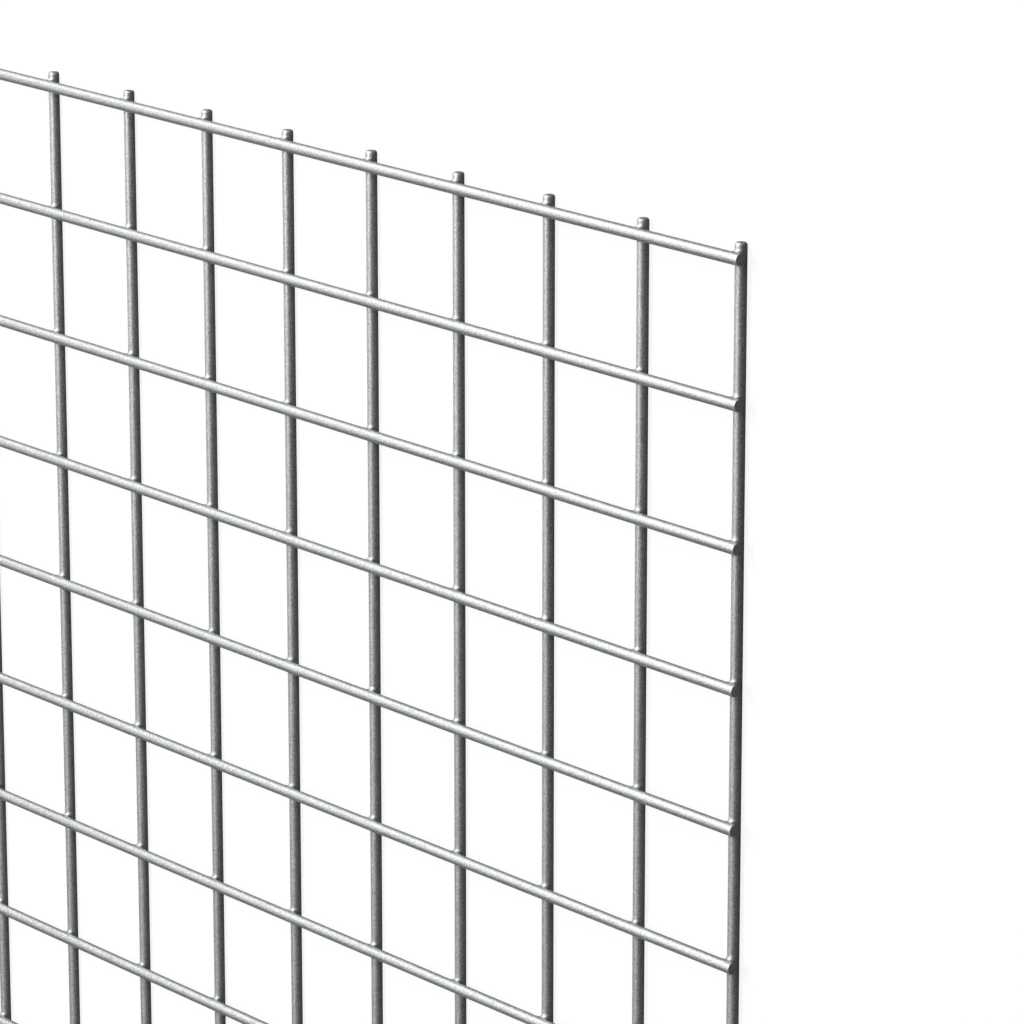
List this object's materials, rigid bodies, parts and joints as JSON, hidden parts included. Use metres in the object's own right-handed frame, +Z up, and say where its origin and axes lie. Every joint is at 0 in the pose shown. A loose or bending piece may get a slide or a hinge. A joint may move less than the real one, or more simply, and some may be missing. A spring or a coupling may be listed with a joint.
{
  "type": "welded wire mesh sheet",
  "caption": "Flat sheet of galvanised round steel wires in two layers, spot-welded where they cross into a grid of square cells.",
  "frame": {"origin": "on the floor under the middle of the sheet, which lies flat", "axes": "+X along the line wires, the sheet's length; +Y along the cross wires, its width; +Z up, out of the face with the line wires"},
  "size_m": [1.2082, 0.61, 0.0081],
  "materials": {
    "galvanised_wire": "hot-dip galvanised after welding, satin grey with a fine grain"
  },
  "bodies": {
    "root": {"wire_mesh_sheet": "galvanised_wire"}
  },
  "joints": []
}
